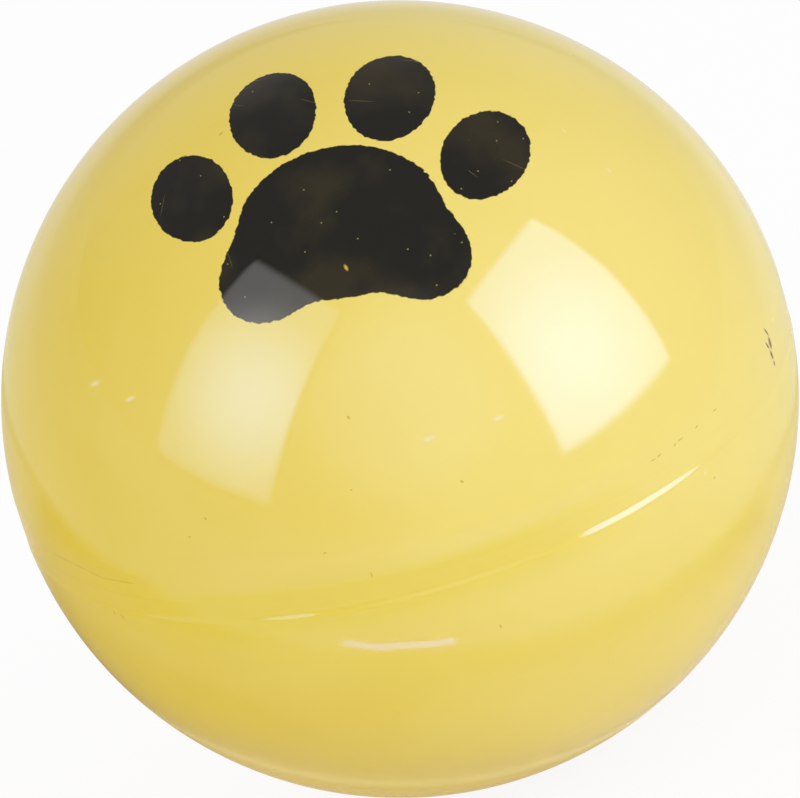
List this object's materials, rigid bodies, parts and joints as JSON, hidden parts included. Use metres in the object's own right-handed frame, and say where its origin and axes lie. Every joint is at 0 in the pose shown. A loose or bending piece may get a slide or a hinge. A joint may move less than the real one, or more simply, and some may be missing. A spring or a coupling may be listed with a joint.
{
  "type": "light-up cat ball",
  "caption": "Hard glossy ball of two welded half shells round a battery-lit module that a swaying spring switches on as the ball rolls, as a toy for cats.",
  "frame": {"origin": "centre of the ball, on the plane of the weld seam", "axes": "+Z is the pole of the printed upper shell, square to the weld seam; +Y points from the centre to the red light"},
  "size_m": [0.045, 0.045, 0.045],
  "materials": {
    "shell": "polished, milky translucent yellow",
    "carrier": "moulded black, fine matt",
    "cell": "nickel-plated steel can",
    "contact": "nickel-plated strip and wire",
    "foam": "grey closed-cell foam",
    "board": "green solder mask",
    "red_lens": "red tinted epoxy",
    "green_lens": "green tinted epoxy",
    "blue_lens": "blue tinted epoxy",
    "lead": "tinned wire",
    "chip_black": "black epoxy",
    "chip_tan": "tan ceramic",
    "pin": "plain brass",
    "spring": "plain spring steel",
    "screw": "zinc-plated steel"
  },
  "bodies": {
    "ball": {"upper_shell": "shell", "lower_shell": "shell", "battery_carrier": "carrier", "button_cell_bottom": "cell", "button_cell_middle": "cell", "button_cell_top": "cell", "negative_contact": "contact", "negative_spring": "contact", "positive_contact": "contact", "foam_pad": "foam", "circuit_board": "board", "red_led": "red_lens", "green_led": "green_lens", "blue_led": "blue_lens", "red_led_anode": "lead", "red_led_cathode": "lead", "green_led_anode": "lead", "green_led_cathode": "lead", "blue_led_anode": "lead", "blue_led_cathode": "lead", "red_resistor": "chip_black", "green_resistor": "chip_black", "blue_resistor": "chip_black", "chip_blob": "chip_black", "capacitor": "chip_tan", "switch_base": "carrier", "switch_pin": "pin", "module_screw_1": "screw", "module_screw_2": "screw", "module_screw_3": "screw"},
    "spring": {"motion_spring": "spring"}
  },
  "joints": [
    {"name": "spring_sway", "type": "hinge", "parent": "ball", "child": "spring", "pos_m": [0, 0, 0.00459], "axis": [1, 0, 0], "range_deg": [-11, 11], "stiffness_Nm_per_rad": 0.00002}
  ]
}
